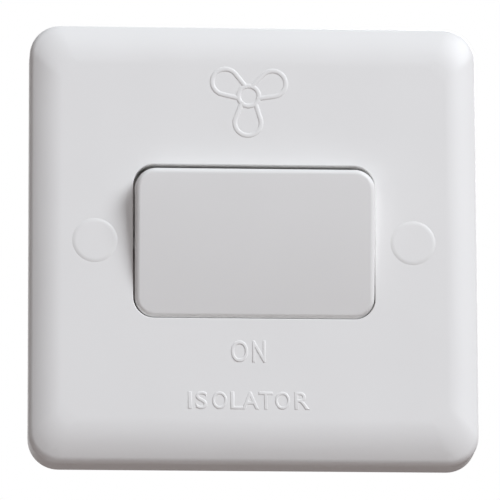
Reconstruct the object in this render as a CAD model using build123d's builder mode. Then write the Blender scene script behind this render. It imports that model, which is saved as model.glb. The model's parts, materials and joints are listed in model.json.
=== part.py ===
from build123d import *
import os
from math import asin, cos, radians, sin, sqrt

# Three-pole fan isolator switch, modelled switched on, in millimetres.
# +Z is up the wall, the front faces -Y, and Y = 0 is the wall plane behind the plate.

# Front plate
plate_size = 85.0
plate_corner_radius = 5.8
plate_depth = 9.0
skirt_thickness = 2.3
face_thickness = 2.4
roll_drop = 2.2  # soft roll round the face, wider along the top and bottom than down the sides
roll_side_width = 6.2
roll_end_width = 8.5
roll_corner_radius = 3.0
roll_steps = 8
edge_radius = 1.8  # tight radius where the roll meets the skirt
hollow_corner_radius = 3.5
hollow_edge_radius = 2.4
rib_thickness = 1.2
rib_height = 2.6
rib_spacing = 24.0

# Rocker opening and the collar behind it
opening_width = 45.8
opening_height = 29.75
opening_corner_radius = 4.0
opening_lip_radius = 0.2
collar_thickness = 1.4
collar_reach = 2.2
lug_width = 6.4
lug_reach = 3.6

# Rocker
rocker_side_gap = 0.2
rocker_side_play = 0.1  # the rocker lies this far to the right of the middle
rocker_end_gap = 0.725
rocker_corner_radius = 3.9
rocker_edge_radius = 1.0
rocker_crown = 0.4
rocker_tilt = 10.0  # either side of level
rocker_sink = 0.45  # of the pressed edge behind the plate's face
rocker_wall = 1.8
rocker_skirt = 2.0  # behind the pivot
pivot_to_face = 4.7
trunnion_radius = 1.2
trunnion_clearance = 0.08
web_thickness = 1.2
web_depth = 3.2
stop_clearance = 0.1

# Poles: permanent live, switched live and neutral
pole_pitch = 13.5
poles = {"live": -pole_pitch, "switched": 0.0, "neutral": pole_pitch}

# Plungers and springs
plunger_radius = 1.9
plunger_clearance = 0.1
plunger_back = 0.6  # shoulder behind the pivot
nose_radius = 1.5
nose_clearance = 0.13
spigot_radius = 0.95
spigot_length = 1.5
socket_wall = 1.0
socket_reach = 4.6
spring_wire = 0.4
spring_mean_radius = 1.4
spring_turns = 4

# Contact blades
fulcrum_depth = 4.55  # behind the wall plane
fulcrum_radius = 0.5
fulcrum_clearance = 0.05
blade_tilt = 10.0  # either side of level
blade_length = 21.2
blade_width = 6.4
blade_thickness = 1.0
blade_lift = 0.3  # from the fulcrum's axis to the blade's back
blade_end_radius = 2.0
trough_radius = 2.0
trough_depth = 0.25

# Contacts and strips
contact_arm = 9.0
contact_radius = 1.6
contact_dome_radius = 5.0
moving_contact_height = 0.9
contact_gap = 0.05
strip_width = 4.0
strip_thickness = 0.8
strip_bend_radius = 1.0
strip_clearance = 0.1

# Switch base
cell_wall = 1.5
cell_height = 26.0
cell_end_wall = 1.6
cell_depth = 8.5  # behind the wall plane
cell_corner_radius = 1.0
base_side_wall = 2.0
base_floor = 2.0
base_corner_radius = 1.5
barrier_height = 4.5
barrier_thickness = 1.5
pocket_depth = 2.4  # pocket floor behind the wall plane
stop_width = 1.4
stop_length = 1.8

# Terminals
block_width = 8.4
block_length = 8.0
block_depth = 7.8
block_chamfer = 0.3
block_clearance = 0.3
bore_radius = 1.9
bore_inset = 3.0  # from the block's front to the bore's axis
terminal_screw_radius = 1.6
terminal_screw_length = 5.0
terminal_screw_backoff = 0.2
thread_clearance = 0.05
terminal_head_radius = 2.75
terminal_head_height = 1.8
terminal_slot_width = 0.8
terminal_slot_depth = 0.9
head_chamfer = 0.3

# Fixing screws and their caps
fixing_centres = 60.3
fixing_hole_radius = 2.0
fixing_screw_radius = 1.75
fixing_shank_radius = 1.55  # plain shank between the head and the wall plane
fixing_screw_length = 25.0
fixing_head_radius = 3.2
fixing_head_height = 2.0
fixing_head_round = 0.8
fixing_slot_width = 0.9
fixing_slot_depth = 1.0
fixing_seat_height = 4.4  # in front of the wall plane
screw_point_chamfer = 0.5
head_recess_radius = 3.6
pillar_radius = 4.8
pillar_recess = 0.6
cap_radius = 4.26
cap_clearance = 0.04
cap_seat_depth = 1.1
cap_proud = 0.09
cap_roll_width = 0.8
cap_spigot_wall = 0.6
cap_spigot_length = 0.9
cap_spigot_clearance = 0.08

# Base screws
base_screw_spread = 51.0
base_screw_rise = 34.0
base_screw_radius = 1.2
base_screw_clearance = 0.05
base_screw_depth = 4.0  # into the boss
base_head_radius = 2.4
base_head_height = 1.6
base_slot_width = 0.8
base_slot_depth = 0.8
boss_radius = 3.0
ear_thickness = 2.0
ear_hole_clearance = 0.3

# Sizes that follow from those above
tilt = radians(rocker_tilt)
swing = radians(blade_tilt)
rocker_width = opening_width - 2 * rocker_side_gap
rocker_height = opening_height - 2 * rocker_end_gap
# The pressed edge lies just behind the plate's face, which sets the pivot's height over the wall.
pivot_height = plate_depth - rocker_sink - pivot_to_face * cos(tilt) + rocker_height / 2 * sin(tilt)
# The rocker's pressed skirt stops on the front of the base.
base_front = pivot_height - rocker_skirt * cos(tilt) - rocker_height / 2 * sin(tilt) - stop_clearance
inner_face = plate_depth - face_thickness
rocker_ceiling = pivot_to_face - rocker_wall
socket_radius = plunger_radius + plunger_clearance
nose_height = blade_lift + blade_thickness - trough_depth + nose_clearance
plunger_reach = pivot_height + fulcrum_depth - nose_height
lug_centre = opening_width / 2 + collar_thickness / 2
base_rear = cell_depth + base_floor
base_width = len(poles) * pole_pitch - cell_wall + 2 * base_side_wall
pocket_start = cell_height / 2 + cell_end_wall
pocket_length = block_length + 4 * block_clearance
block_start = pocket_start + block_clearance
block_centre = block_start + block_length / 2
block_front = pocket_depth + strip_thickness
bore_depth = block_front + bore_inset
base_height = 2 * (pocket_start + pocket_length)
strip_floor = cell_depth - strip_thickness / 2
strip_tail = pocket_depth + strip_thickness / 2
strip_upright = cell_height / 2 - strip_bend_radius
# The moving contact's dome touches down here when the blade is swung over.
dome_lift = contact_dome_radius + blade_lift - moving_contact_height
touch_rise = contact_arm * cos(swing) + dome_lift * sin(swing)
touch_depth = fulcrum_depth + contact_arm * sin(swing) - dome_lift * cos(swing) + contact_dome_radius
fixed_contact_height = cell_depth - strip_thickness - touch_depth - contact_gap
screw_tip = bore_depth + bore_radius + terminal_screw_backoff
terminal_seat = screw_tip + terminal_screw_length
cap_seat = plate_depth - cap_seat_depth

# Planes: out of the wall, side-on, and the tilted ones of the rocker and the blades
wall_plane = Plane(origin=(0, 0, 0), x_dir=(1, 0, 0), z_dir=(0, -1, 0))
out_axis = Axis(origin=(0, 0, 0), direction=(0, -1, 0))
rocker_up = (0, -sin(tilt), cos(tilt))
rocker_plane = Plane(origin=(0, -pivot_height, 0), x_dir=(1, 0, 0), z_dir=(0, -cos(tilt), -sin(tilt)))
rocker_side = Plane(origin=(0, -pivot_height, 0), x_dir=rocker_up, z_dir=(1, 0, 0))
fixing_places = [(-fixing_centres / 2, 0), (fixing_centres / 2, 0)]
base_screw_places = [(x * base_screw_spread / 2, y * base_screw_rise / 2) for x in (-1, 1) for y in (-1, 1)]
near = 0.01  # half-width of the band in which edges are picked by height

os.makedirs("parts", exist_ok=True)


def edges_at(part, height):
    return part.edges().filter_by_position(out_axis, height - near, height + near)


# Front plate: rolled square shell with the opening, collar, pillars, bosses and bearing lugs
skirt_height = plate_depth - roll_drop
roll_side_radius = (roll_side_width**2 + roll_drop**2) / (2 * roll_drop)
roll_end_radius = (roll_end_width**2 + roll_drop**2) / (2 * roll_drop)
hollow_size = plate_size - 2 * skirt_thickness
with BuildPart() as front_plate:
    with BuildSketch(wall_plane):
        RectangleRounded(plate_size, plate_size, plate_corner_radius)
    extrude(amount=skirt_height)
    for step in range(roll_steps + 1):
        turn = asin(roll_end_width / roll_end_radius) * (1 - step / roll_steps)
        drop = roll_end_radius * (1 - cos(turn))
        end_inset = roll_end_width - roll_end_radius * sin(turn)
        side_inset = roll_side_width - sqrt(drop * (2 * roll_side_radius - drop))
        corner = plate_corner_radius + (roll_corner_radius - plate_corner_radius) * end_inset / roll_end_width
        with BuildSketch(wall_plane.offset(plate_depth - drop)):
            RectangleRounded(plate_size - 2 * side_inset, plate_size - 2 * end_inset, corner)
    loft()
    fillet(edges_at(front_plate, skirt_height), edge_radius)
    with BuildSketch(wall_plane):
        RectangleRounded(hollow_size, hollow_size, hollow_corner_radius)
    extrude(amount=inner_face, mode=Mode.SUBTRACT)
    fillet(edges_at(front_plate, inner_face), hollow_edge_radius)
    with BuildSketch(wall_plane.offset(inner_face - collar_reach)):
        RectangleRounded(
            opening_width + 2 * collar_thickness,
            opening_height + 2 * collar_thickness,
            opening_corner_radius + collar_thickness,
        )
    extrude(amount=collar_reach)
    with BuildSketch(wall_plane.offset(inner_face - lug_reach)):
        with Locations((-lug_centre, 0), (lug_centre, 0)):
            Rectangle(collar_thickness, lug_width)
    extrude(amount=lug_reach)
    with BuildSketch(wall_plane.offset(inner_face - rib_height)):
        with GridLocations(rib_spacing, 0, 2, 1):
            Rectangle(rib_thickness, hollow_size)
        Rectangle(hollow_size, rib_thickness)
    extrude(amount=rib_height)
    with BuildSketch(wall_plane.offset(pillar_recess)):
        with Locations(*fixing_places):
            Circle(pillar_radius)
    extrude(amount=inner_face - pillar_recess)
    with BuildSketch(wall_plane.offset(base_front)):
        with Locations(*base_screw_places):
            Circle(boss_radius)
    extrude(amount=inner_face - base_front)
    with BuildSketch(wall_plane.offset(plate_depth)):
        RectangleRounded(opening_width, opening_height, opening_corner_radius)
    extrude(amount=-plate_depth, mode=Mode.SUBTRACT)
    opening_edges = edges_at(front_plate, plate_depth).filter_by(
        lambda edge: abs(edge.center().X) < plate_size / 3 and abs(edge.center().Z) < plate_size / 3
    )
    fillet(opening_edges, opening_lip_radius)
    with BuildSketch(rocker_side.offset(-lug_centre - collar_thickness)):
        Circle(trunnion_radius + trunnion_clearance)
    extrude(amount=2 * (lug_centre + collar_thickness), mode=Mode.SUBTRACT)
    with BuildSketch(wall_plane.offset(pivot_height)):
        Rectangle(2 * (lug_centre + collar_thickness), 2 * (trunnion_radius + trunnion_clearance))
    extrude(amount=-pivot_height, mode=Mode.SUBTRACT)
    with BuildSketch(wall_plane.offset(plate_depth)):
        with Locations(*fixing_places):
            Circle(fixing_hole_radius)
    extrude(amount=-plate_depth, mode=Mode.SUBTRACT)
    with BuildSketch(wall_plane.offset(fixing_seat_height)):
        with Locations(*fixing_places):
            Circle(head_recess_radius)
    extrude(amount=plate_depth - fixing_seat_height, mode=Mode.SUBTRACT)
    with BuildSketch(wall_plane.offset(cap_seat)):
        with Locations(*fixing_places):
            Circle(cap_radius + cap_clearance)
    extrude(amount=cap_seat_depth, mode=Mode.SUBTRACT)
    with BuildSketch(wall_plane.offset(base_front)):
        with Locations(*base_screw_places):
            Circle(base_screw_radius + base_screw_clearance)
    extrude(amount=base_screw_depth + base_screw_clearance, mode=Mode.SUBTRACT)
front_plate.part.label = "front_plate"
export_step(front_plate.part, "parts/front_plate.step")

# Rocker: crowned face, hollow back with plunger sockets on a web, and two trunnions
with BuildPart() as rocker:
    with BuildSketch(rocker_side.offset(rocker_side_play)):
        with BuildLine():
            sides = Polyline(
                (-rocker_height / 2, pivot_to_face),
                (-rocker_height / 2, -rocker_skirt),
                (rocker_height / 2, -rocker_skirt),
                (rocker_height / 2, pivot_to_face),
            )
            ThreePointArc(sides @ 1, (0, pivot_to_face + rocker_crown), sides @ 0)
        make_face()
    extrude(amount=rocker_width / 2, both=True)
    with BuildSketch(rocker_plane.offset(-rocker_skirt)):
        with Locations((rocker_side_play, 0)):
            RectangleRounded(rocker_width, rocker_height, rocker_corner_radius)
    extrude(amount=rocker_skirt + pivot_to_face + 2 * rocker_crown, mode=Mode.INTERSECT)
    fillet(
        rocker.faces().sort_by(Axis(origin=(0, 0, 0), direction=rocker_plane.z_dir))[-1].edges(),
        rocker_edge_radius,
    )
    with BuildSketch(rocker_plane.offset(-rocker_skirt)):
        with Locations((rocker_side_play, 0)):
            RectangleRounded(
                rocker_width - 2 * rocker_wall,
                rocker_height - 2 * rocker_wall,
                rocker_corner_radius - rocker_wall,
            )
    extrude(amount=rocker_skirt + rocker_ceiling, mode=Mode.SUBTRACT)
    with BuildSketch(rocker_plane.offset(rocker_ceiling - web_depth)):
        Rectangle(rocker_width - rocker_wall, web_thickness)
    extrude(amount=web_depth)
    with BuildSketch(rocker_plane.offset(-socket_reach)):
        with Locations(*[(x, 0) for x in poles.values()]):
            Circle(socket_radius + socket_wall)
    extrude(amount=socket_reach + rocker_ceiling)
    with BuildSketch(rocker_plane.offset(-socket_reach)):
        with Locations(*[(x, 0) for x in poles.values()]):
            Circle(socket_radius)
    extrude(amount=socket_reach + rocker_ceiling, mode=Mode.SUBTRACT)
    for side in (-1, 1):
        with BuildSketch(rocker_side.offset(side * (rocker_width - rocker_wall) / 2)):
            Circle(trunnion_radius)
        extrude(amount=side * (rocker_wall / 2 + rocker_side_gap + collar_thickness))
rocker.part.label = "rocker"
export_step(rocker.part, "parts/rocker.step")

# Switch base: three open cells between two rows of terminal pockets, with a flange, keepers and barriers
with BuildPart() as switch_base:
    with BuildSketch(wall_plane.offset(base_front)):
        RectangleRounded(base_width, base_height, base_corner_radius)
    extrude(amount=-base_front - base_rear)
    with BuildSketch(wall_plane.offset(base_front)):
        with GridLocations(0, base_screw_rise, 1, 2):
            SlotCenterToCenter(base_screw_spread, 2 * boss_radius)
        Rectangle(2 * lug_centre + collar_thickness, base_screw_rise)
    extrude(amount=-ear_thickness)
    with BuildSketch(wall_plane.offset(base_front)):
        with Locations((-lug_centre, 0), (lug_centre, 0)):
            Rectangle(collar_thickness, 2 * trunnion_radius)
    extrude(amount=pivot_height - base_front - trunnion_radius - trunnion_clearance)
    with BuildSketch(wall_plane.offset(-base_rear)):
        for side in (-1, 1):
            with Locations((0, side * (pocket_start + pocket_length / 2))):
                with GridLocations(pole_pitch, 0, len(poles) + 1, 1):
                    Rectangle(barrier_thickness, pocket_length)
    extrude(amount=-barrier_height)
    with BuildSketch(wall_plane.offset(base_front)):
        with GridLocations(pole_pitch, 0, len(poles), 1):
            RectangleRounded(pole_pitch - cell_wall, cell_height, cell_corner_radius)
    extrude(amount=-base_front - cell_depth, mode=Mode.SUBTRACT)
    with BuildSketch(wall_plane.offset(-cell_depth)):
        for x in poles.values():
            with Locations((x, -contact_arm)):
                with GridLocations(strip_width + 2 * strip_clearance + stop_width, 0, 2, 1):
                    Rectangle(stop_width, stop_length)
    stop_rise = cell_depth - fulcrum_depth + blade_lift * cos(swing) - (contact_arm + stop_length / 2) * sin(swing)
    extrude(amount=stop_rise - stop_clearance)
    with BuildSketch(wall_plane.offset(-pocket_depth)):
        for side in (-1, 1):
            with Locations((0, side * (pocket_start + pocket_length))):
                with GridLocations(pole_pitch, 0, len(poles), 1):
                    Rectangle(block_width + 2 * block_clearance, 2 * pocket_length)
    extrude(amount=pocket_depth - base_rear - barrier_height, mode=Mode.SUBTRACT)
    with BuildSketch(wall_plane.offset(-pocket_depth)):
        with GridLocations(pole_pitch, 0, len(poles), 1):
            Rectangle(strip_width + 2 * strip_clearance, 2 * pocket_start)
    extrude(amount=-strip_thickness - strip_clearance, mode=Mode.SUBTRACT)
    with BuildSketch(wall_plane.offset(base_front)):
        with Locations(*base_screw_places):
            Circle(base_screw_radius + ear_hole_clearance)
    extrude(amount=-ear_thickness, mode=Mode.SUBTRACT)
switch_base.part.label = "switch_base"
export_step(switch_base.part, "parts/switch_base.step")

# Fixing screws: two slotted pan heads seated in the pillars, thinner plain shanks, threads behind the wall plane
with BuildPart() as fixing_screws:
    with BuildSketch(wall_plane):
        with Locations(*fixing_places):
            Circle(fixing_screw_radius)
    extrude(amount=fixing_seat_height - fixing_screw_length)
    with BuildSketch(wall_plane):
        with Locations(*fixing_places):
            Circle(fixing_shank_radius)
    extrude(amount=fixing_seat_height)
    chamfer(edges_at(fixing_screws, fixing_seat_height - fixing_screw_length), screw_point_chamfer)
    with BuildSketch(wall_plane.offset(fixing_seat_height)):
        with Locations(*fixing_places):
            Circle(fixing_head_radius)
    extrude(amount=fixing_head_height)
    fillet(edges_at(fixing_screws, fixing_seat_height + fixing_head_height), fixing_head_round)
    with BuildSketch(wall_plane.offset(fixing_seat_height + fixing_head_height)):
        with Locations(*fixing_places):
            Rectangle(fixing_slot_width, 2 * fixing_head_radius)
    extrude(amount=-fixing_slot_depth, mode=Mode.SUBTRACT)
fixing_screws.part.label = "fixing_screws"
export_step(fixing_screws.part, "parts/fixing_screws.step")

# Screw caps: thin discs with a softly rolled rim and a spigot ring that grips the head recess
for name, place in zip(("screw_cap_left", "screw_cap_right"), fixing_places):
    cap_side = Plane(origin=(place[0], 0, 0), x_dir=(1, 0, 0), z_dir=(0, 0, -1))
    with BuildPart() as screw_cap:
        with BuildSketch(cap_side):
            with BuildLine():
                top = Line((0, plate_depth + cap_proud), (cap_radius - cap_roll_width, plate_depth + cap_proud))
                TangentArc(top @ 1, (cap_radius, plate_depth), tangent=top % 1)
                Polyline((cap_radius, plate_depth), (cap_radius, cap_seat), (0, cap_seat), top @ 0)
            make_face()
        revolve(axis=Axis(origin=cap_side.origin, direction=cap_side.y_dir))
        with BuildSketch(wall_plane.offset(cap_seat)):
            with Locations(place):
                Circle(head_recess_radius - cap_spigot_clearance)
                Circle(head_recess_radius - cap_spigot_clearance - cap_spigot_wall, mode=Mode.SUBTRACT)
        extrude(amount=-cap_spigot_length)
    screw_cap.part.label = name
    export_step(screw_cap.part, f"parts/{name}.step")

# Base screws: four self-tappers through the ears into the plate's bosses
with BuildPart() as base_screws:
    with BuildSketch(wall_plane.offset(base_front - ear_thickness)):
        with Locations(*base_screw_places):
            Circle(base_screw_radius)
    extrude(amount=ear_thickness + base_screw_depth)
    chamfer(edges_at(base_screws, base_front + base_screw_depth), screw_point_chamfer)
    with BuildSketch(wall_plane.offset(base_front - ear_thickness)):
        with Locations(*base_screw_places):
            Circle(base_head_radius)
    extrude(amount=-base_head_height)
    chamfer(edges_at(base_screws, base_front - ear_thickness - base_head_height), head_chamfer)
    with BuildSketch(wall_plane.offset(base_front - ear_thickness - base_head_height)):
        with Locations(*base_screw_places):
            Rectangle(base_slot_width, 2 * base_head_radius)
    extrude(amount=base_slot_depth, mode=Mode.SUBTRACT)
base_screws.part.label = "base_screws"
export_step(base_screws.part, "parts/base_screws.step")

# Terminal screws: six slotted clamp screws, backed off the wire bores
terminal_places = [(x, side * block_centre) for x in poles.values() for side in (-1, 1)]
with BuildPart() as terminal_screws:
    with BuildSketch(wall_plane.offset(-screw_tip)):
        with Locations(*terminal_places):
            Circle(terminal_screw_radius)
    extrude(amount=-terminal_screw_length)
    with BuildSketch(wall_plane.offset(-terminal_seat)):
        with Locations(*terminal_places):
            Circle(terminal_head_radius)
    extrude(amount=-terminal_head_height)
    chamfer(edges_at(terminal_screws, -terminal_seat - terminal_head_height), head_chamfer)
    with BuildSketch(wall_plane.offset(-terminal_seat - terminal_head_height)):
        with Locations(*terminal_places):
            Rectangle(terminal_slot_width, 2 * terminal_head_radius)
    extrude(amount=terminal_slot_depth, mode=Mode.SUBTRACT)
terminal_screws.part.label = "terminal_screws"
export_step(terminal_screws.part, "parts/terminal_screws.step")

for pole, x in poles.items():
    # Plunger: spring spigot, guided body and round nose, turned about its own axis
    plunger_side = Plane(origin=(x, -pivot_height, 0), x_dir=rocker_up, z_dir=(1, 0, 0))
    with BuildPart() as plunger:
        with BuildSketch(plunger_side):
            with BuildLine():
                turned = Polyline(
                    (0, -plunger_reach),
                    (0, spigot_length - plunger_back),
                    (spigot_radius, spigot_length - plunger_back),
                    (spigot_radius, -plunger_back),
                    (plunger_radius, -plunger_back),
                    (plunger_radius, nose_radius - plunger_reach + plunger_radius - nose_radius),
                    (nose_radius, nose_radius - plunger_reach),
                )
                RadiusArc(turned @ 1, turned @ 0, nose_radius)
            make_face()
        revolve(axis=Axis(origin=plunger_side.origin, direction=plunger_side.y_dir))
    plunger.part.label = f"plunger_{pole}"
    export_step(plunger.part, f"parts/plunger_{pole}.step")

    # Spring: coiled between the plunger's shoulder and the socket's floor
    spring_start = plunger_side.from_local_coords((0, spring_wire / 2 - plunger_back, 0))
    spring_rise = rocker_ceiling + plunger_back - spring_wire
    with BuildPart() as spring:
        with BuildLine():
            coil = Helix(
                spring_rise / spring_turns,
                spring_rise,
                spring_mean_radius,
                center=spring_start,
                direction=rocker_plane.z_dir,
            )
        with BuildSketch(Plane(origin=coil @ 0, z_dir=coil % 0)):
            Rectangle(spring_wire, spring_wire)
        sweep()
    spring.part.label = f"spring_{pole}"
    export_step(spring.part, f"parts/spring_{pole}.step")

    # Contact blade: flat see-saw with a trough for the plunger and a groove over the fulcrum
    blade_plane = Plane(origin=(x, fulcrum_depth, 0), x_dir=(1, 0, 0), z_dir=(0, -cos(swing), sin(swing)))
    blade_side = Plane(origin=(x, fulcrum_depth, 0), x_dir=blade_plane.y_dir, z_dir=(1, 0, 0))
    with BuildPart() as blade:
        with BuildSketch(blade_plane.offset(blade_lift)):
            RectangleRounded(blade_width, blade_length, blade_end_radius)
        extrude(amount=blade_thickness)
        with BuildSketch(blade_side):
            with Locations((0, blade_lift + blade_thickness - trough_depth + trough_radius)):
                Circle(trough_radius)
            Circle(fulcrum_radius + fulcrum_clearance)
        extrude(amount=blade_width, both=True, mode=Mode.SUBTRACT)
    blade.part.label = f"contact_blade_{pole}"
    export_step(blade.part, f"parts/contact_blade_{pole}.step")

    # Moving contact: domed button riveted behind the blade's upper end
    contact_axis = Axis(origin=blade_side.from_local_coords((contact_arm, 0, 0)), direction=blade_side.y_dir)
    with BuildPart() as moving_contact:
        with BuildSketch(blade_side):
            with BuildLine():
                rim = Polyline(
                    (contact_arm, blade_lift - moving_contact_height),
                    (contact_arm, blade_lift),
                    (contact_arm + contact_radius, blade_lift),
                    (
                        contact_arm + contact_radius,
                        dome_lift - (contact_dome_radius**2 - contact_radius**2) ** 0.5,
                    ),
                )
                RadiusArc(rim @ 1, rim @ 0, contact_dome_radius)
            make_face()
        revolve(axis=contact_axis)
    moving_contact.part.label = f"moving_contact_{pole}"
    export_step(moving_contact.part, f"parts/moving_contact_{pole}.step")

    # Fixed contact: flat button on the load strip
    with BuildPart() as fixed_contact:
        with BuildSketch(wall_plane.offset(strip_thickness - cell_depth)):
            with Locations((x, touch_rise)):
                Circle(contact_radius)
        extrude(amount=fixed_contact_height)
    fixed_contact.part.label = f"fixed_contact_{pole}"
    export_step(fixed_contact.part, f"parts/fixed_contact_{pole}.step")

    # Strips: folded from the pocket floor, down the end of the cell and along its floor
    strip_side = Plane(origin=(x, 0, 0), x_dir=(0, 0, 1), z_dir=(1, 0, 0))
    tail_end = block_start + block_length
    for name, side, foot_end in (("load_strip", 1, touch_rise - 2 * contact_radius), ("line_strip", -1, -fulcrum_radius)):
        with BuildPart() as strip:
            with BuildLine(strip_side) as folded:
                FilletPolyline(
                    (side * tail_end, -strip_tail),
                    (side * strip_upright, -strip_tail),
                    (side * strip_upright, -strip_floor),
                    (side * foot_end, -strip_floor),
                    radius=strip_bend_radius,
                )
            with BuildSketch(Plane(origin=folded.line @ 0, x_dir=(1, 0, 0), z_dir=folded.line % 0)):
                Rectangle(strip_width, strip_thickness)
            sweep()
            if name == "line_strip":
                with BuildSketch(strip_side):
                    with Locations((0, -fulcrum_depth)):
                        Circle(fulcrum_radius)
                        Rectangle(
                            2 * fulcrum_radius,
                            cell_depth - fulcrum_depth,
                            align=(Align.CENTER, Align.MAX),
                        )
                extrude(amount=strip_width / 2, both=True)
        strip.part.label = f"{name}_{pole}"
        export_step(strip.part, f"parts/{name}_{pole}.step")

    # Terminal blocks: brass pillars cross-drilled for the wire and tapped for the clamp screw
    for name, side in (("load_terminal", 1), ("line_terminal", -1)):
        with BuildPart() as terminal:
            with BuildSketch(wall_plane.offset(-block_front)):
                with Locations((x, side * block_centre)):
                    Rectangle(block_width, block_length)
            extrude(amount=-block_depth)
            chamfer(terminal.edges().filter_by(Axis.Z), block_chamfer)
            with BuildSketch(Plane.XY.offset(side * block_start)):
                with Locations((x, bore_depth)):
                    Circle(bore_radius)
            extrude(amount=side * block_length, mode=Mode.SUBTRACT)
            with BuildSketch(wall_plane.offset(-bore_depth)):
                with Locations((x, side * block_centre)):
                    Circle(terminal_screw_radius + thread_clearance)
            extrude(amount=-block_depth, mode=Mode.SUBTRACT)
        terminal.part.label = f"{name}_{pole}"
        export_step(terminal.part, f"parts/{name}_{pole}.step")
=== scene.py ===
import json
import math
import bmesh
import bpy
import numpy as np
from mathutils import Matrix, Vector

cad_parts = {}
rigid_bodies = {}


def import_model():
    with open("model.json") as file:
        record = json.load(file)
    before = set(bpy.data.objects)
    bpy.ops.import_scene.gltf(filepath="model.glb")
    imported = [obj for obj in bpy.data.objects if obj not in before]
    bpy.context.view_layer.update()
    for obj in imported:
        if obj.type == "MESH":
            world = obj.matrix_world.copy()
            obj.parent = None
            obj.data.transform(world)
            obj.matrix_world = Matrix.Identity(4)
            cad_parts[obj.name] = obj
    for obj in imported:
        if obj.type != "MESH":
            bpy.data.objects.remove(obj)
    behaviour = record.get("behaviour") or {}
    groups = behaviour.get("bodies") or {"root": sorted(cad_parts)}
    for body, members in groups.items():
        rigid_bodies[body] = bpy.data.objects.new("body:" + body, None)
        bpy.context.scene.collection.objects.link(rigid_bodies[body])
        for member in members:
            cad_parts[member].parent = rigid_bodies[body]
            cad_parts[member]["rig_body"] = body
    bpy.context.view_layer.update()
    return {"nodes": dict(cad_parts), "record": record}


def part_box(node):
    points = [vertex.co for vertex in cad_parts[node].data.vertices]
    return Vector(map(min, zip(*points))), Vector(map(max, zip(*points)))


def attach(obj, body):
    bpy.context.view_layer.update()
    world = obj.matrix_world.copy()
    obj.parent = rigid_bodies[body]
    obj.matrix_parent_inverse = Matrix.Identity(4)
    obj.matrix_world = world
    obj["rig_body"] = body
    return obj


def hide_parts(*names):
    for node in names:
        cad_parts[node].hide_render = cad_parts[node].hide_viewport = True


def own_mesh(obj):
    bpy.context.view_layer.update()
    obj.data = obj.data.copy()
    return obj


# fan isolator switch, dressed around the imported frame, all in metres
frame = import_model()
nodes = frame["nodes"]
mm = 0.001
poles = ("live", "switched", "neutral")
print("frame loaded:", len(nodes), "nodes")


# materials

def newMaterial(name, color, roughness, metallic=0.0):
    mat = bpy.data.materials.new(name)
    mat.use_nodes = True
    shader = mat.node_tree.nodes["Principled BSDF"]
    shader.inputs["Base Color"].default_value = (*color, 1.0)
    shader.inputs["Roughness"].default_value = roughness
    shader.inputs["Metallic"].default_value = metallic
    return mat, mat.node_tree, shader


def objectNoise(tree, scale, detail=2.0, stretch=(1.0, 1.0, 1.0)):
    # noise on Object coordinates, stretched by a Mapping node
    coords = tree.nodes.new("ShaderNodeTexCoord")
    mapping = tree.nodes.new("ShaderNodeMapping")
    mapping.inputs["Scale"].default_value = stretch
    noise = tree.nodes.new("ShaderNodeTexNoise")
    noise.inputs["Scale"].default_value = scale
    noise.inputs["Detail"].default_value = detail
    tree.links.new(coords.outputs["Object"], mapping.inputs["Vector"])
    tree.links.new(mapping.outputs["Vector"], noise.inputs["Vector"])
    return noise.outputs["Fac"]


def colorFrom(tree, shader, fac, darkColor, lightColor, lowStop=0.35, highStop=0.65):
    ramp = tree.nodes.new("ShaderNodeValToRGB")
    ramp.color_ramp.elements[0].position = lowStop
    ramp.color_ramp.elements[0].color = (*darkColor, 1.0)
    ramp.color_ramp.elements[1].position = highStop
    ramp.color_ramp.elements[1].color = (*lightColor, 1.0)
    tree.links.new(fac, ramp.inputs["Fac"])
    tree.links.new(ramp.outputs["Color"], shader.inputs["Base Color"])


def roughnessFrom(tree, shader, fac, low, high, lowStop=0.3, highStop=0.7):
    spread = tree.nodes.new("ShaderNodeMapRange")
    spread.inputs["From Min"].default_value = lowStop
    spread.inputs["From Max"].default_value = highStop
    spread.inputs["To Min"].default_value = low
    spread.inputs["To Max"].default_value = high
    tree.links.new(fac, spread.inputs["Value"])
    tree.links.new(spread.outputs["Result"], shader.inputs["Roughness"])


def bumpFrom(tree, shader, fac, strength, distance):
    bump = tree.nodes.new("ShaderNodeBump")
    bump.inputs["Strength"].default_value = strength
    bump.inputs["Distance"].default_value = distance
    tree.links.new(fac, bump.inputs["Height"])
    tree.links.new(bump.outputs["Normal"], shader.inputs["Normal"])


whiteSettings = {
    "shade": (0.806, 0.796, 0.784),  # faint flow marks in the moulding
    "light": (0.826, 0.816, 0.804),
    "rockerPaintedShade": 0.987,  # painted shade: the rocker is coloured a little darker than the plate, for more tilt away from the light
    "specular": 0.3,
    "rough": (0.34, 0.4),
    "flowScale": 60.0,
    "flowDetail": 1.0,
    "flowStops": (0.2, 0.8),
    "polishScale": 260.0,
    "peelScale": 2600.0,
    "peelDetail": 3.0,
    "peelStrength": 0.5,
    "peelDepth": 0.004 * mm,
}


def whiteMoulding(name, paintedShadeGain=1.0):
    s = whiteSettings
    # a gain below 1 darkens both colours as painted shade
    dark = tuple(c * paintedShadeGain for c in s["shade"])
    light = tuple(c * paintedShadeGain for c in s["light"])
    mat, tree, shader = newMaterial(name, light, s["rough"][0])
    shader.inputs["Specular IOR Level"].default_value = s["specular"]
    flow = objectNoise(tree, s["flowScale"], s["flowDetail"])
    colorFrom(tree, shader, flow, dark, light, *s["flowStops"])
    roughnessFrom(tree, shader, objectNoise(tree, s["polishScale"]), *s["rough"])
    peel = objectNoise(tree, s["peelScale"], s["peelDetail"])
    bumpFrom(tree, shader, peel, s["peelStrength"], s["peelDepth"])
    return mat


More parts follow.
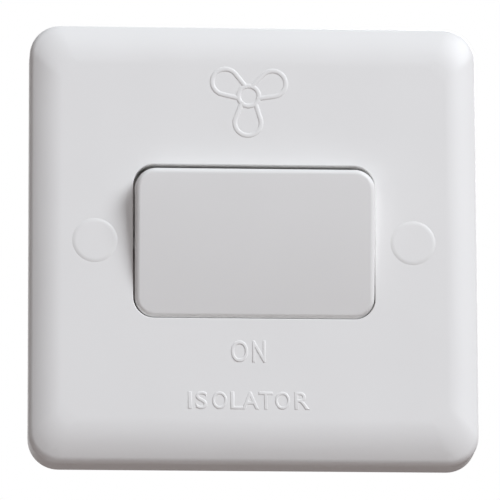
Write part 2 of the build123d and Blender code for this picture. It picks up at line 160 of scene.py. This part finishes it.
metalSettings = {
    "brass": {
        "dark": (0.62, 0.42, 0.15), "light": (0.74, 0.53, 0.22), "rough": (0.24, 0.4), "grain": 700.0,
    },
    "copper": {
        "dark": (0.58, 0.27, 0.15), "light": (0.74, 0.38, 0.23), "rough": (0.28, 0.45), "grain": 300.0,
        "stretch": (14.0, 1.0, 1.0),  # streaks along the rolled strips
    },
    "silver": {
        "dark": (0.72, 0.71, 0.68), "light": (0.86, 0.85, 0.82), "rough": (0.18, 0.32), "grain": 900.0,
    },
    "plated": {
        "dark": (0.56, 0.57, 0.58), "light": (0.72, 0.72, 0.7), "rough": (0.2, 0.36), "grain": 800.0,
    },
    "spring": {
        "dark": (0.36, 0.36, 0.37), "light": (0.5, 0.5, 0.5), "rough": (0.25, 0.4), "grain": 1200.0,
    },
}
metalGrain = {
    "detail": 5.0,
    "bumpScale": 2.5,  # times the metal's own grain
    "bumpDetail": 3.0,
    "bumpStrength": 0.4,
    "bumpDepth": 0.006 * mm,
}


def metal(name):
    s, g = metalSettings[name], metalGrain
    stretch = s.get("stretch", (1.0, 1.0, 1.0))
    mat, tree, shader = newMaterial(name + "Metal", s["light"], s["rough"][0], 1.0)
    grain = objectNoise(tree, s["grain"], g["detail"], stretch)
    colorFrom(tree, shader, grain, s["dark"], s["light"])
    roughnessFrom(tree, shader, grain, *s["rough"])
    scratches = objectNoise(tree, g["bumpScale"] * s["grain"], g["bumpDetail"], stretch)
    bumpFrom(tree, shader, scratches, g["bumpStrength"], g["bumpDepth"])
    return mat


plasticSettings = {
    "base": {
        "dark": (0.69, 0.68, 0.65), "light": (0.75, 0.74, 0.71), "rough": (0.45, 0.58), "grain": 120.0,
    },
    "nylon": {
        "dark": (0.66, 0.63, 0.53), "light": (0.74, 0.71, 0.62), "rough": (0.36, 0.5), "grain": 400.0,
    },
}
plasticGrain = {
    "detail": 4.0,
    "polishScale": 3.0,  # this and the peel's are times the plastic's own grain
    "peelScale": 14.0,
    "peelStrength": 0.5,
    "peelDepth": 0.012 * mm,
}


def softPlastic(name):
    s, g = plasticSettings[name], plasticGrain
    mat, tree, shader = newMaterial(name + "Plastic", s["light"], s["rough"][0])
    colorFrom(tree, shader, objectNoise(tree, s["grain"], g["detail"]), s["dark"], s["light"])
    roughnessFrom(tree, shader, objectNoise(tree, g["polishScale"] * s["grain"]), *s["rough"])
    peel = objectNoise(tree, g["peelScale"] * s["grain"])
    bumpFrom(tree, shader, peel, g["peelStrength"], g["peelDepth"])
    return mat


plateWhite = whiteMoulding("plateWhite")
# the rocker's white is the plate's white with painted shade
rockerWhite = whiteMoulding("rockerWhite", whiteSettings["rockerPaintedShade"])
finishes = {name: metal(name) for name in metalSettings}
finishes.update({name: softPlastic(name) for name in plasticSettings})
nodeFinish = {
    "switch_base": "base", "fixing_screws": "plated", "base_screws": "plated", "terminal_screws": "plated",
}
poleFinish = {  # one node of each kind for every pole
    "plunger": "nylon", "spring": "spring", "contact_blade": "copper", "moving_contact": "silver",
    "fixed_contact": "silver", "load_strip": "copper", "line_strip": "copper",
    "load_terminal": "brass", "line_terminal": "brass",
}
for kind, finish in poleFinish.items():
    nodeFinish.update({f"{kind}_{pole}": finish for pole in poles})
for name, node in nodes.items():
    node.data.materials.clear()
    node.data.materials.append(finishes[nodeFinish[name]] if name in nodeFinish else plateWhite)
print("materials set on", len(nodes), "nodes")


# mesh helpers

meshSettings = {
    "weldGap": 0.0001 * mm,
    "nodeWeldGap": 0.0002 * mm,
    "nodeSharpAngle": 32.0,  # mouldings, caps and screw heads
}


def shadeSmooth(bm, sharpAngle):
    # smooth faces, parted where two of them meet at more than the angle
    for face in bm.faces:
        face.smooth = True
    for edge in bm.edges:
        edge.smooth = edge.calc_face_angle(math.pi) < math.radians(sharpAngle)


def placePiece(name, mesh, mat, body):
    mesh.materials.append(mat)
    piece = bpy.data.objects.new(name, mesh)
    bpy.context.scene.collection.objects.link(piece)
    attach(piece, body)
    return piece


def addPiece(name, verts, faces, mat, body, sharpAngle):
    mesh = bpy.data.meshes.new(name)
    mesh.from_pydata(np.asarray(verts).tolist(), [], faces)
    bm = bmesh.new()
    bm.from_mesh(mesh)
    bmesh.ops.remove_doubles(bm, verts=bm.verts, dist=meshSettings["weldGap"])
    bmesh.ops.recalc_face_normals(bm, faces=bm.faces)
    shadeSmooth(bm, sharpAngle)
    bm.to_mesh(mesh)
    bm.free()
    return placePiece(name, mesh, mat, body)


def mergedNode(node):
    # a node's loose triangles as one surface
    bm = bmesh.new()
    bm.from_mesh(nodes[node].data)
    bmesh.ops.remove_doubles(bm, verts=bm.verts, dist=meshSettings["nodeWeldGap"])
    return bm


def smoothCopy(node, name, mat):
    # merged copy of a node, shaded smooth across the faces that run into each other
    bm = mergedNode(node)
    shadeSmooth(bm, meshSettings["nodeSharpAngle"])
    mesh = bpy.data.meshes.new(name)
    bm.to_mesh(mesh)
    bm.free()
    if "custom_normal" in mesh.attributes:
        mesh.attributes.remove(mesh.attributes["custom_normal"])
    piece = placePiece(name, mesh, mat, nodes[node]["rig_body"])
    weighted = piece.modifiers.new("faceWeighted", "WEIGHTED_NORMAL")
    weighted.keep_sharp = True
    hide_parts(node)


def boxMiddle(node):
    lo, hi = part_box(node)
    return (lo + hi) / 2


def fullTurn(count):
    # angles round a whole turn, in radians
    return np.linspace(0.0, 2 * math.pi, count, endpoint=False)


def gridFaces(rows, cols, closedRows=False):
    # quads of a grid of points whose rows run round, joined from the last row to the first where closed
    r, c = np.meshgrid(np.arange(rows if closedRows else rows - 1), np.arange(cols), indexing="ij")
    r, c = r.ravel(), c.ravel()
    r2, c2 = (r + 1) % rows, (c + 1) % cols
    return np.stack([r * cols + c, r * cols + c2, r2 * cols + c2, r2 * cols + c], 1).tolist()


def endFaces(rows, cols):
    # the first and the last row of such a grid, each filled as one face
    return [list(range(cols)), list(range((rows - 1) * cols, rows * cols))]


def joined(parts):
    # several lists of points and faces as one
    verts, faces, base = [], [], 0
    for partVerts, partFaces in parts:
        verts.append(partVerts)
        faces += [[i + base for i in face] for face in partFaces]
        base += len(partVerts)
    return np.vstack(verts), faces


# plate and rocker

smoothCopy("front_plate", "plateMoulding", plateWhite)
smoothCopy("rocker", "rockerMoulding", rockerWhite)
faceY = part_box("front_plate")[0].y  # front of the plate
print("smooth mouldings made")


# screw caps

capSettings = {
    "radius": 4.31 * mm,  # the rim closes on the edge of its seat
    "rollWidth": 0.85 * mm,
    "rollSteps": 13,
    "rise": 0.113 * mm,
    "sink": 0.02 * mm,  # under the plate's face, as bodyTop and seatDepth are
    "bodyTop": 0.04 * mm,
    "bodyRadius": 4.26 * mm,
    "seatDepth": 1.1 * mm,
    "spigotOuter": 3.52 * mm,
    "spigotInner": 2.92 * mm,
    "spigotLength": 0.9 * mm,
    "columns": 96,
}


def capDisc(side, s):
    # turned profile: flat top, then height = (rise + sink) (1 - t^2) - sink over the roll,
    # then the body and the spigot ring behind it
    node = f"screw_cap_{side}"
    t = np.linspace(0.0, 1.0, s["rollSteps"])
    rollRadius = s["radius"] - s["rollWidth"] * (1 - t)
    rollHeight = (s["rise"] + s["sink"]) * (1 - t * t) - s["sink"]
    back = -s["seatDepth"]
    end = back - s["spigotLength"]
    profile = np.vstack([
        [[0.0, s["rise"]]],
        np.stack([rollRadius, rollHeight], 1),
        [[s["bodyRadius"], -s["bodyTop"]], [s["bodyRadius"], back]],
        [[s["spigotOuter"], back], [s["spigotOuter"], end]],
        [[s["spigotInner"], end], [s["spigotInner"], back]],
        [[0.0, back]],
    ])
    radius, height = profile[:, :1], profile[:, 1:]
    angle = fullTurn(s["columns"])
    middle = boxMiddle(node)
    verts = np.stack(np.broadcast_arrays(
        middle.x + radius * np.cos(angle), faceY - height, middle.z + radius * np.sin(angle),
    ), -1).reshape(-1, 3)
    cap = addPiece(
        f"screwCap.{side}", verts, gridFaces(len(profile), s["columns"]), plateWhite,
        nodes[node]["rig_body"], meshSettings["nodeSharpAngle"],
    )
    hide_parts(node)


for side in ("left", "right"):
    capDisc(side, capSettings)
print("screw caps turned")


# screw threads

threadSettings = {
    "fixing_screws": {
        "name": "fixing",
        "toTip": 1,  # along y
        "length": 20.6 * mm,
        "cutPast": -0.001 * mm,  # takes the step at the end of the shank too
        "major": 1.75 * mm,
        "pitch": 0.6 * mm,
        "depth": 0.33 * mm,
        "point": 0.5 * mm,
    },
    "terminal_screws": {
        "name": "terminal",
        "toTip": -1,
        "length": 5.0 * mm,
        "cutPast": 0.001 * mm,  # leaves the underside of the head
        "major": 1.6 * mm,
        "pitch": 0.5 * mm,
        "depth": 0.26 * mm,
        "point": 0.3 * mm,
    },
}
threadGrid = {
    "inside": 0.2 * mm,  # foot of the thread inside the shank or head
    "columns": 36,
    "rowsPerPitch": 10,
    "sharpAngle": 75.0,
}


def threadSurface(s, middle, startY):
    # radius = major - depth (1 + cos(2 pi travel / pitch + toTip angle)) / 2,
    # faded in at the start and narrowed at the point
    g = threadGrid
    length = s["length"] + g["inside"]
    rows = int(length * g["rowsPerPitch"] / s["pitch"])
    travel, angle = np.meshgrid(np.linspace(0.0, length, rows), fullTurn(g["columns"]), indexing="ij")
    crest = (1 - np.cos(2 * math.pi * travel / s["pitch"] + s["toTip"] * angle)) / 2
    crest *= np.clip((travel - g["inside"]) / s["pitch"], 0, 1)
    radius = s["major"] - s["depth"] * (1 - crest)
    radius = np.minimum(radius, s["major"] - s["point"] + length - travel)
    verts = np.stack([
        middle.x + radius * np.cos(angle),
        startY + s["toTip"] * (travel - g["inside"]),
        middle.z + radius * np.sin(angle),
    ], -1).reshape(-1, 3)
    return verts, gridFaces(rows, g["columns"]) + endFaces(rows, g["columns"])


def threadedScrews(node, mat):
    # heads and plain shanks come from the CAD screws,
    # closed where the threaded length is cut off and made anew
    s = threadSettings[node]
    body = nodes[node]["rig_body"]
    lo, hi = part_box(node)
    startY = (hi.y if s["toTip"] > 0 else lo.y) - s["toTip"] * s["length"]
    cutY = startY + s["toTip"] * s["cutPast"]
    bm = mergedNode(node)
    cut = [face for face in bm.faces if s["toTip"] * (face.calc_center_median().y - cutY) > 0]
    bmesh.ops.delete(bm, geom=cut, context="FACES")
    rims = [edge for edge in bm.edges if len(edge.link_faces) == 1]
    closings = bmesh.ops.holes_fill(bm, edges=rims, sides=0)["faces"]
    middles = [face.calc_center_median() for face in closings]  # one for each screw
    bm.verts.index_update()
    headVerts = [tuple(vert.co) for vert in bm.verts]
    headFaces = [[vert.index for vert in face.verts] for face in bm.faces]
    bm.free()
    heads = addPiece(
        s["name"] + "Heads", headVerts, headFaces, mat, body, meshSettings["nodeSharpAngle"],
    )
    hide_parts(node)
    verts, faces = joined(threadSurface(s, middle, startY) for middle in middles)
    addPiece(s["name"] + "Threads", verts, faces, mat, body, threadGrid["sharpAngle"])
    print("threads cut:", node, len(faces), "faces")


for node in threadSettings:
    threadedScrews(node, finishes["plated"])


# plunger springs

springSettings = {
    "meanRadius": 1.4 * mm,
    "wireRadius": 0.2 * mm,
    "turns": 6.0,
    "closedTurns": 1.0,
    "start": -0.6 * mm,  # along the plunger from the rocker's pivot
    "end": 2.9 * mm,
    "travel": 0.9 * mm,
    "rows": 240,
    "columns": 14,
    "sharpAngle": 60.0,
}
joints = {joint["name"]: joint for joint in frame["record"]["behaviour"]["joints"]}
pivot = np.array(joints["rocker_tilt"]["pos_m"])


def springCoil(pole, s):
    # point = (mean + wire cos a) outwards + (height + wire sin a) along the axis, wound close at both ends
    node = f"spring_{pole}"
    axis = np.array(joints[f"plunger_slide_{pole}"]["axis"])
    across = np.array([1.0, 0.0, 0.0])
    along = np.cross(axis, across)
    centre = pivot + boxMiddle(node).x * across
    wire, close = s["wireRadius"], s["closedTurns"]
    turn, a = np.meshgrid(np.linspace(0.0, s["turns"], s["rows"]), fullTurn(s["columns"]), indexing="ij")
    low, high = s["start"] + wire, s["end"] - wire
    height = np.interp(
        turn, [0.0, close, s["turns"] - close, s["turns"]],
        [low, low + 2 * wire * close, high - 2 * wire * close, high],
    )
    out = s["meanRadius"] + wire * np.cos(a)
    verts = centre + (
        (out * np.cos(2 * math.pi * turn))[..., None] * across
        + (out * np.sin(2 * math.pi * turn))[..., None] * along
        + (height + wire * np.sin(a))[..., None] * axis
    )
    faces = gridFaces(s["rows"], s["columns"]) + endFaces(s["rows"], s["columns"])
    coil = addPiece(
        f"springCoil.{pole}", verts.reshape(-1, 3), faces, finishes["spring"],
        nodes[node]["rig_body"], s["sharpAngle"],
    )
    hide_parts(node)
    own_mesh(coil)


for pole in poles:
    springCoil(pole, springSettings)
print("springs wound:", len(poles))


# raised fan sign

fanSign = {
    "centre": (-0.95 * mm, 28.36 * mm),
    "hubRadius": 1.95 * mm,
    "paddleAngles": (30.0, 150.0, 270.0),
    "paddleRadius": 2.5 * mm,
    "paddleReach": 5.2 * mm,
    "neckRadius": 1.3 * mm,
    "neckReach": 1.6 * mm,
    "swirl": 0.15 * mm,  # of the round end to one side
    "ridgeWidth": 0.9 * mm,
    "ridgeHeight": 0.142 * mm,
    "sink": 0.06 * mm,  # foot under the plate's face
    "hubSteps": 96,
    "roundSteps": 90,
    "lineSteps": 24,
    "ridgeSteps": 13,
    "sharpAngle": 50.0,
}


def onCircle(radius, angle):
    return radius * np.stack([np.cos(angle), np.sin(angle)], 1)


def turned(points, angle):
    # flat points turned about the origin
    c, d = math.cos(angle), math.sin(angle)
    return points @ np.array([[c, d], [-d, c]])


def fanPaths(s):
    # hub: circle about the centre; paddle: round end, then the two lines that touch it
    # and a smaller circle at the neck, turned a little aside by the swirl
    hub = onCircle(s["hubRadius"], fullTurn(s["hubSteps"]))
    outwards = s["paddleReach"] - s["neckReach"]
    reach = math.hypot(outwards, s["swirl"])
    touch = math.pi - math.acos((s["paddleRadius"] - s["neckRadius"]) / reach)
    roundEnd = onCircle(s["paddleRadius"], np.linspace(-touch, touch, s["roundSteps"])) + [reach, 0.0]
    neckStart, neckEnd = onCircle(s["neckRadius"], np.array([-touch, touch]))
    step = np.linspace(0.0, 1.0, s["lineSteps"])[:, None]
    lineOut = neckStart * (1 - step) + roundEnd[0] * step
    lineBack = roundEnd[-1] * (1 - step) + neckEnd * step
    paddle = np.vstack([lineOut[:-1], roundEnd, lineBack[1:]])
    paddle = turned(paddle, math.atan2(-s["swirl"], outwards)) + [s["neckReach"], 0.0]
    paddles = [turned(paddle, math.radians(angle)) for angle in s["paddleAngles"]]
    return [(hub + s["centre"], True)] + [(path + s["centre"], False) for path in paddles]


def ridge(path, closed, s):
    # half-ellipse carried along a flat path: across = w/2 cos a, out = h sin a, with a foot under the face
    a = np.linspace(0.0, math.pi, s["ridgeSteps"])
    half = s["ridgeWidth"] / 2
    across = np.concatenate([half * np.cos(a), [-half, half]])
    out = np.concatenate([s["ridgeHeight"] * np.sin(a), [-s["sink"], -s["sink"]]])
    if closed:
        ahead, behind = np.roll(path, -1, 0), np.roll(path, 1, 0)
    else:
        ahead, behind = np.vstack([path[1:], path[-1:]]), np.vstack([path[:1], path[:-1]])
    along = ahead - behind
    along /= np.linalg.norm(along, axis=1)[:, None]
    side = np.stack([along[:, 1], -along[:, 0]], 1)
    flat = path[:, None, :] + side[:, None, :] * across[None, :, None]
    rows, cols = flat.shape[:2]
    depth = np.broadcast_to(faceY - out, (rows, cols))
    verts = np.stack([flat[..., 0], depth, flat[..., 1]], -1).reshape(-1, 3)
    faces = gridFaces(rows, cols, closed)
    return verts, faces if closed else faces + endFaces(rows, cols)


fanVerts, fanFaces = joined(ridge(path, closed, fanSign) for path, closed in fanPaths(fanSign))
fanPiece = addPiece(
    "fanSign", fanVerts, fanFaces, plateWhite, "housing", fanSign["sharpAngle"],
)
print("fan sign:", len(fanPiece.data.polygons), "faces")


# raised words

wordSettings = [
    {
        "name": "wordOn",
        "level": -21.26 * mm,
        "height": 4.2 * mm,
        "rise": 0.135 * mm,
        "letters": (("O", -2.83, 3.2), ("N", 0.83, 2.5)),  # middle and width in millimetres
    },
    {
        "name": "wordIsolator",
        "level": -30.7 * mm,
        "height": 3.4 * mm,
        "rise": 0.115 * mm,
        "letters": (
            ("I", -12.21, 0.75), ("S", -10.04, 2.2), ("O", -6.61, 2.8), ("L", -3.38, 2.4),
            ("A", -0.82, 3.2), ("T", 2.08, 2.7), ("O", 5.25, 2.8), ("R", 8.95, 2.9),
        ),
    },
]
letterSettings = {
    "sink": 0.06 * mm,  # foot under the plate's face
    "round": 0.22 * mm,
    "roundSteps": 3,
    "stroke": 0.02,  # boldness in font sizes
    "curveSteps": 8,
    "sharpAngle": 40.0,
}


def curveMesh(holder):
    # points and faces of a curve as it stands
    bpy.context.view_layer.update()
    mesh = bpy.data.meshes.new_from_object(holder)
    co = np.zeros(len(mesh.vertices) * 3)
    mesh.vertices.foreach_get("co", co)
    faces = [list(face.vertices) for face in mesh.polygons]
    bpy.data.meshes.remove(mesh)
    return co.reshape(-1, 3), faces


def letterMesh(letter, height, width, rise, s):
    # one of Blender's own letters with rounded sides,
    # fitted to its height and width and flattened to a low pillow
    curve = bpy.data.curves.new("letter", "FONT")
    curve.body = letter
    curve.offset = s["stroke"]
    curve.resolution_u = s["curveSteps"]
    curve.bevel_resolution = s["roundSteps"]
    holder = bpy.data.objects.new("letter", curve)
    bpy.context.scene.collection.objects.link(holder)
    flat = curveMesh(holder)[0]
    scale = height / np.ptp(flat[:, 1])
    curve.bevel_depth = s["round"] / scale
    curve.offset = s["stroke"] - s["round"] / scale
    co, faces = curveMesh(holder)
    bpy.data.objects.remove(holder)
    co -= (co.min(0) + co.max(0)) / 2
    co[:, 0] *= width / np.ptp(co[:, 0])
    co[:, 1] *= scale
    co[:, 2] *= np.where(co[:, 2] > 0, rise, s["sink"]) / co[:, 2].max()
    return co, faces


def raisedWord(s):
    parts = []
    for letter, middle, width in s["letters"]:
        co, faces = letterMesh(letter, s["height"], width * mm, s["rise"], letterSettings)
        place = [co[:, 0] + middle * mm, faceY - co[:, 2], co[:, 1] + s["level"]]
        parts.append((np.stack(place, 1), faces))
    verts, faces = joined(parts)
    return addPiece(
        s["name"], verts, faces, plateWhite, "housing", letterSettings["sharpAngle"],
    )


for settings in wordSettings:
    word = raisedWord(settings)
    print("raised word:", word.name, len(word.data.polygons), "faces")


# floor, light and camera

stage = {
    "floorLevel": -1.5,
    "floorSize": 1.6,
    "floorShade": (0.79, 0.79, 0.79),
    "floorColor": (0.8, 0.8, 0.8),
    "floorRough": 0.8,
    "floorScale": 8.0,
    "lowFill": (0.242, 0.192, 0.178),  # warm, from below
    "highFill": (0.01, 0.01, 0.01),
    "horizon": (-0.1, 0.05),
    "lowGlow": (0.115, 0.097, 0.09),
    "highGlow": (1.0, 1.0, 1.0),
    "backdrop": (1.0, 1.0, 1.0),
}
floorMesh = bpy.data.meshes.new("floor")
half = stage["floorSize"] / 2
corners = [(-half, -half), (half, -half), (half, half), (-half, half)]
floorMesh.from_pydata([(x, y, stage["floorLevel"]) for x, y in corners], [], [(0, 1, 2, 3)])
floor = bpy.data.objects.new("floor", floorMesh)
bpy.context.scene.collection.objects.link(floor)
floorMat, floorTree, floorShader = newMaterial("floorPale", stage["floorColor"], stage["floorRough"])
floorNoise = objectNoise(floorTree, stage["floorScale"])
colorFrom(floorTree, floorShader, floorNoise, stage["floorShade"], stage["floorColor"])
floorMesh.materials.append(floorMat)

# seen by the camera the surroundings are white; seen in gloss they are white above the horizon
# and dim below it; as light they are a weak warm fill from below the horizon
world = bpy.data.worlds.new("studio")
world.use_nodes = True
world.cycles.sampling_method = "NONE"  # weak and even, so it needs no map
bpy.context.scene.world = world
tree = world.node_tree
tree.nodes.clear()


def mixed(fac, low, high):
    # the colour low where fac is 0, high where it is 1
    node = tree.nodes.new("ShaderNodeMix")
    node.data_type = "RGBA"
    tree.links.new(fac, node.inputs[0])
    for socket, source in zip(node.inputs[6:8], (low, high)):  # the colour sockets A and B
        if isinstance(source, tuple):
            socket.default_value = (*source, 1.0)
        else:
            tree.links.new(source, socket)
    return node.outputs[2]


rays = tree.nodes.new("ShaderNodeLightPath").outputs
direction = tree.nodes.new("ShaderNodeSeparateXYZ")
tree.links.new(tree.nodes.new("ShaderNodeTexCoord").outputs["Generated"], direction.inputs["Vector"])
horizon = tree.nodes.new("ShaderNodeMapRange")
horizon.inputs["From Min"].default_value, horizon.inputs["From Max"].default_value = stage["horizon"]
tree.links.new(direction.outputs["Z"], horizon.inputs["Value"])
glow = mixed(horizon.outputs["Result"], stage["lowGlow"], stage["highGlow"])
fill = mixed(horizon.outputs["Result"], stage["lowFill"], stage["highFill"])
light = mixed(rays["Is Glossy Ray"], fill, glow)
light = mixed(rays["Is Transmission Ray"], light, glow)
light = mixed(rays["Is Camera Ray"], light, stage["backdrop"])
backdrop = tree.nodes.new("ShaderNodeBackground")
tree.links.new(light, backdrop.inputs["Color"])
output = tree.nodes.new("ShaderNodeOutputWorld")
tree.links.new(backdrop.outputs[0], output.inputs["Surface"])

lampColor = (0.913, 0.951, 1.0)  # a little cool
lamps = {  # direction from the object, distance, width and height, power
    "window": ((0.95, -1.0, 1.0), 4.0, (2.2, 2.2), 173.0),
    "top": ((0.2, -1.0, 1.6), 4.0, (2.0, 2.0), 9.5),
    "left": ((-1.4, -1.0, 0.3), 4.0, (2.4, 2.4), 14.7),
    "front": ((0.0, -1.0, 0.0), 4.0, (2.0, 2.0), 15.7),
    "rear": ((0.35, 0.8, 0.5), 1.2, (0.6, 0.6), 9.4),
}


def softLight(name, fromWhere, distance, size, power):
    data = bpy.data.lights.new(name, "AREA")
    data.shape = "RECTANGLE"
    data.size, data.size_y = size
    data.energy = power
    data.color = lampColor
    lamp = bpy.data.objects.new(name, data)
    bpy.context.scene.collection.objects.link(lamp)
    outwards = Vector(fromWhere).normalized()
    lamp.location = outwards * distance
    lamp.rotation_mode = "QUATERNION"
    lamp.rotation_quaternion = outwards.to_track_quat("Z", "Y")


for name, settings in lamps.items():
    softLight(name, *settings)
print("light set:", len(lamps), "lamps")

view = {
    "azimuth": -3.4,
    "elevation": -12.9,
    "roll": 0.2,
    "distance": 1.27,
    "focal": 6690.0,  # in pixels of the frame
    "framePixels": 500.0,
    "target": (0.0, -4.5 * mm, 0.0),
    "targetPixel": (252.75, 246.85),  # where the target lies in the frame
    "sensorWidth": 36.0,
    "clip": (0.01, 20.0),
}
azimuth, elevation = math.radians(view["azimuth"]), math.radians(view["elevation"])
back = Vector((
    math.sin(azimuth) * math.cos(elevation), -math.cos(azimuth) * math.cos(elevation), math.sin(elevation),
))
right = Vector((math.cos(azimuth), math.sin(azimuth), 0.0))
up = back.cross(right)
metresPerPixel = view["distance"] / view["focal"]
middlePixel = view["framePixels"] / 2
aside = (middlePixel - view["targetPixel"][0]) * metresPerPixel
above = (view["targetPixel"][1] - middlePixel) * metresPerPixel
camData = bpy.data.cameras.new("camera")
camData.sensor_width = view["sensorWidth"]
camData.lens = view["focal"] / view["framePixels"] * view["sensorWidth"]
camData.clip_start, camData.clip_end = view["clip"]
cam = bpy.data.objects.new("camera", camData)
bpy.context.scene.collection.objects.link(cam)
roll = Matrix.Rotation(-math.radians(view["roll"]), 3, "Z")
cam.rotation_mode = "QUATERNION"
cam.rotation_quaternion = (Matrix((right, up, back)).transposed() @ roll).to_quaternion()
cam.location = Vector(view["target"]) + back * view["distance"] + right * aside + up * above
bpy.context.scene.camera = cam
bpy.context.scene.view_settings.view_transform = "Standard"
print("camera set")
